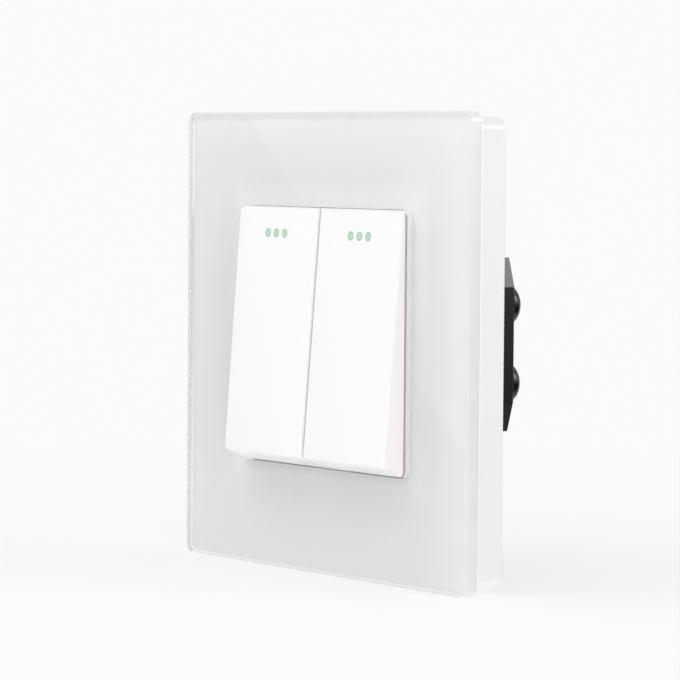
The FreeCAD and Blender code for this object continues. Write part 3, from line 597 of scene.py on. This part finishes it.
def set_world():
    """Pale studio: the backdrop shows white to the eye and in gloss and glass. Its light is even, and a
    little stronger from below, as a white sweep throws it back."""
    world = bpy.data.worlds.new("studio")
    bpy.context.scene.world = world
    world.use_nodes = True
    tree = world.node_tree
    tree.nodes.clear()
    ray = add(tree, "LightPath").outputs
    seen = add(tree, "Math", {0: ray["Is Camera Ray"], 1: ray["Is Glossy Ray"]}, operation="MAXIMUM")
    shown = add(tree, "Math", {0: seen.outputs[0], 1: ray["Is Transmission Ray"]}, operation="MAXIMUM")
    way = add(tree, "SeparateXYZ", {"Vector": add(tree, "TexCoord").outputs["Generated"]})
    height = add(tree, "MapRange", {"Value": way.outputs["Z"], "From Min": -0.2, "From Max": 0.2,
                                    "To Min": 0.0, "To Max": 1.0})
    light = add(tree, "Mix", {"Factor": height.outputs[0], 6: (0.92, 0.91, 0.9, 1), 7: (0.76, 0.76, 0.77, 1)},
                data_type="RGBA")
    tone = add(tree, "Mix", {"Factor": shown.outputs[0], 6: light.outputs[2], 7: linear("fafafa")},
               data_type="RGBA")
    sky = add(tree, "Background", {"Color": tone.outputs[2], "Strength": 1.0})
    add(tree, "OutputWorld", {"Surface": sky.outputs[0]})


def make_floor():
    """Matt white floor under the panel's lower edge. Seven tenths of what the eye sees of it is plain
    backdrop white, and all of it further off. The rest is lit, so it keeps a faint shadow."""
    made, tree, place_at = material("matt_white_floor")
    ray = add(tree, "LightPath").outputs
    fibre = add(tree, "TexNoise", {"Vector": place_at, "Scale": 1 / 0.05, "Detail": 3.0})
    shade = add(tree, "Mix", {"Factor": fibre.outputs["Fac"], 6: linear("fafafa"), 7: linear("f9f9f9")},
                data_type="RGBA")
    lit = add(tree, "BsdfDiffuse", {"Color": shade.outputs[2]})
    plain = add(tree, "Emission", {"Color": linear("fafafa"), "Strength": 1.0})
    away = add(tree, "VectorMath", {0: place_at}, operation="LENGTH")
    share = add(tree, "MapRange", {"Value": away.outputs["Value"], "From Min": 0.08, "From Max": 0.3,
                                   "To Min": 0.7, "To Max": 1.0}, interpolation_type="SMOOTHSTEP")
    part = add(tree, "Math", {0: ray["Is Camera Ray"], 1: share.outputs[0]}, operation="MULTIPLY")
    both = add(tree, "MixShader", {0: part.outputs[0], 1: lit.outputs[0], 2: plain.outputs[0]})
    finish_with(tree, both)
    low = cad_box[0][2]
    u, v = np.meshgrid(np.linspace(-3, 3, 7), np.linspace(-3, 3, 7), indexing="ij")
    floor = make_mesh("studio_floor", [np.stack([u, v, np.full_like(u, low)], axis=-1)], made)
    floor.visible_glossy = floor.visible_diffuse = floor.visible_shadow = False


def make_board(name, corners, light, dark, fade):
    """Board beside the camera's view, which only gloss shows. corners: two rows of two points. It pales to
    the backdrop's white between the two heights in fade."""
    made, tree, place_at = material(name)
    tint = add(tree, "TexNoise", {"Vector": place_at, "Scale": 4.0})
    shade = add(tree, "Mix", {"Factor": tint.outputs["Fac"], 6: linear(light), 7: linear(dark)},
                data_type="RGBA")
    height = add(tree, "SeparateXYZ", {"Vector": place_at}).outputs["Z"]
    paled = add(tree, "MapRange", {"Value": height, "From Min": fade[0], "From Max": fade[1]})
    tone = add(tree, "Mix", {"Factor": paled.outputs[0], 6: shade.outputs[2], 7: linear("fafafa")},
               data_type="RGBA")
    finish_with(tree, add(tree, "Emission", {"Color": tone.outputs[2], "Strength": 1.0}))
    board = make_mesh(name, [np.array(corners)], made)
    board.visible_camera = board.visible_diffuse = board.visible_shadow = False
    board.visible_transmission = False


def make_boards():
    """Grey board at the front left, whose straight edge runs through high and low and lies as a faint
    diagonal in the glass, and a dark one low at the rear right, which the glass's right edge and the black
    mechanism's side mirror. The dark one pales towards its top, so that it has no edge in the glass."""
    high, low = np.array([-0.5097, -0.3615, 0.0491]), np.array([-0.4111, -0.3926, -0.0795])
    along, side = 3 * (high - low), np.array([-0.72, 0.24, -0.4])
    top, bottom = high + along, low - along
    make_board("grey_board", [[top, bottom], [top + side, bottom + side]], "bcbcbc", "bababa",
               (1.0, 1.1))
    near, far = np.array([1.15, 0.3, 0.0]), np.array([0.35, 1.05, 0.0])
    up, down = np.array([0, 0, 0.06]), np.array([0, 0, -0.6])
    make_board("dark_board", [[near + up, near + down], [far + up, far + down]], "444444", "404040",
               (-0.05, 0.055))


bpy.context.scene.view_settings.view_transform = "Standard"
set_camera()
set_world()
make_floor()
make_boards()
lamp("front_top_lamp", (-0.12, -0.33, 0.34), (0, 0, 0.01), 0.4, 0.4, 0.56)
lamp("right_fill_lamp", (0.75, -0.2, 0.1), (0, 0, 0), 0.5, 0.5, 0.35)
lamp("low_front_lamp", (0.15, -0.12, -0.46), (0, -0.01, -0.02), 0.5, 0.5, 0.66)
rim_lamp = lamp("rear_right_lamp", (0.56, 0.49, 0.33), (0, 0.01, 0), 0.3, 0.3, 1.6)
strip_lamp = lamp("right_strip_lamp", (0.73, -0.34, 0.05), (0, 0, 0), 0.05, 0.7, 0.3)
rim_lamp.visible_glossy = strip_lamp.visible_glossy = True
dress_frame()
make_glass()
make_film()
make_screws()
for side in SIDES:
    make_springs(side)
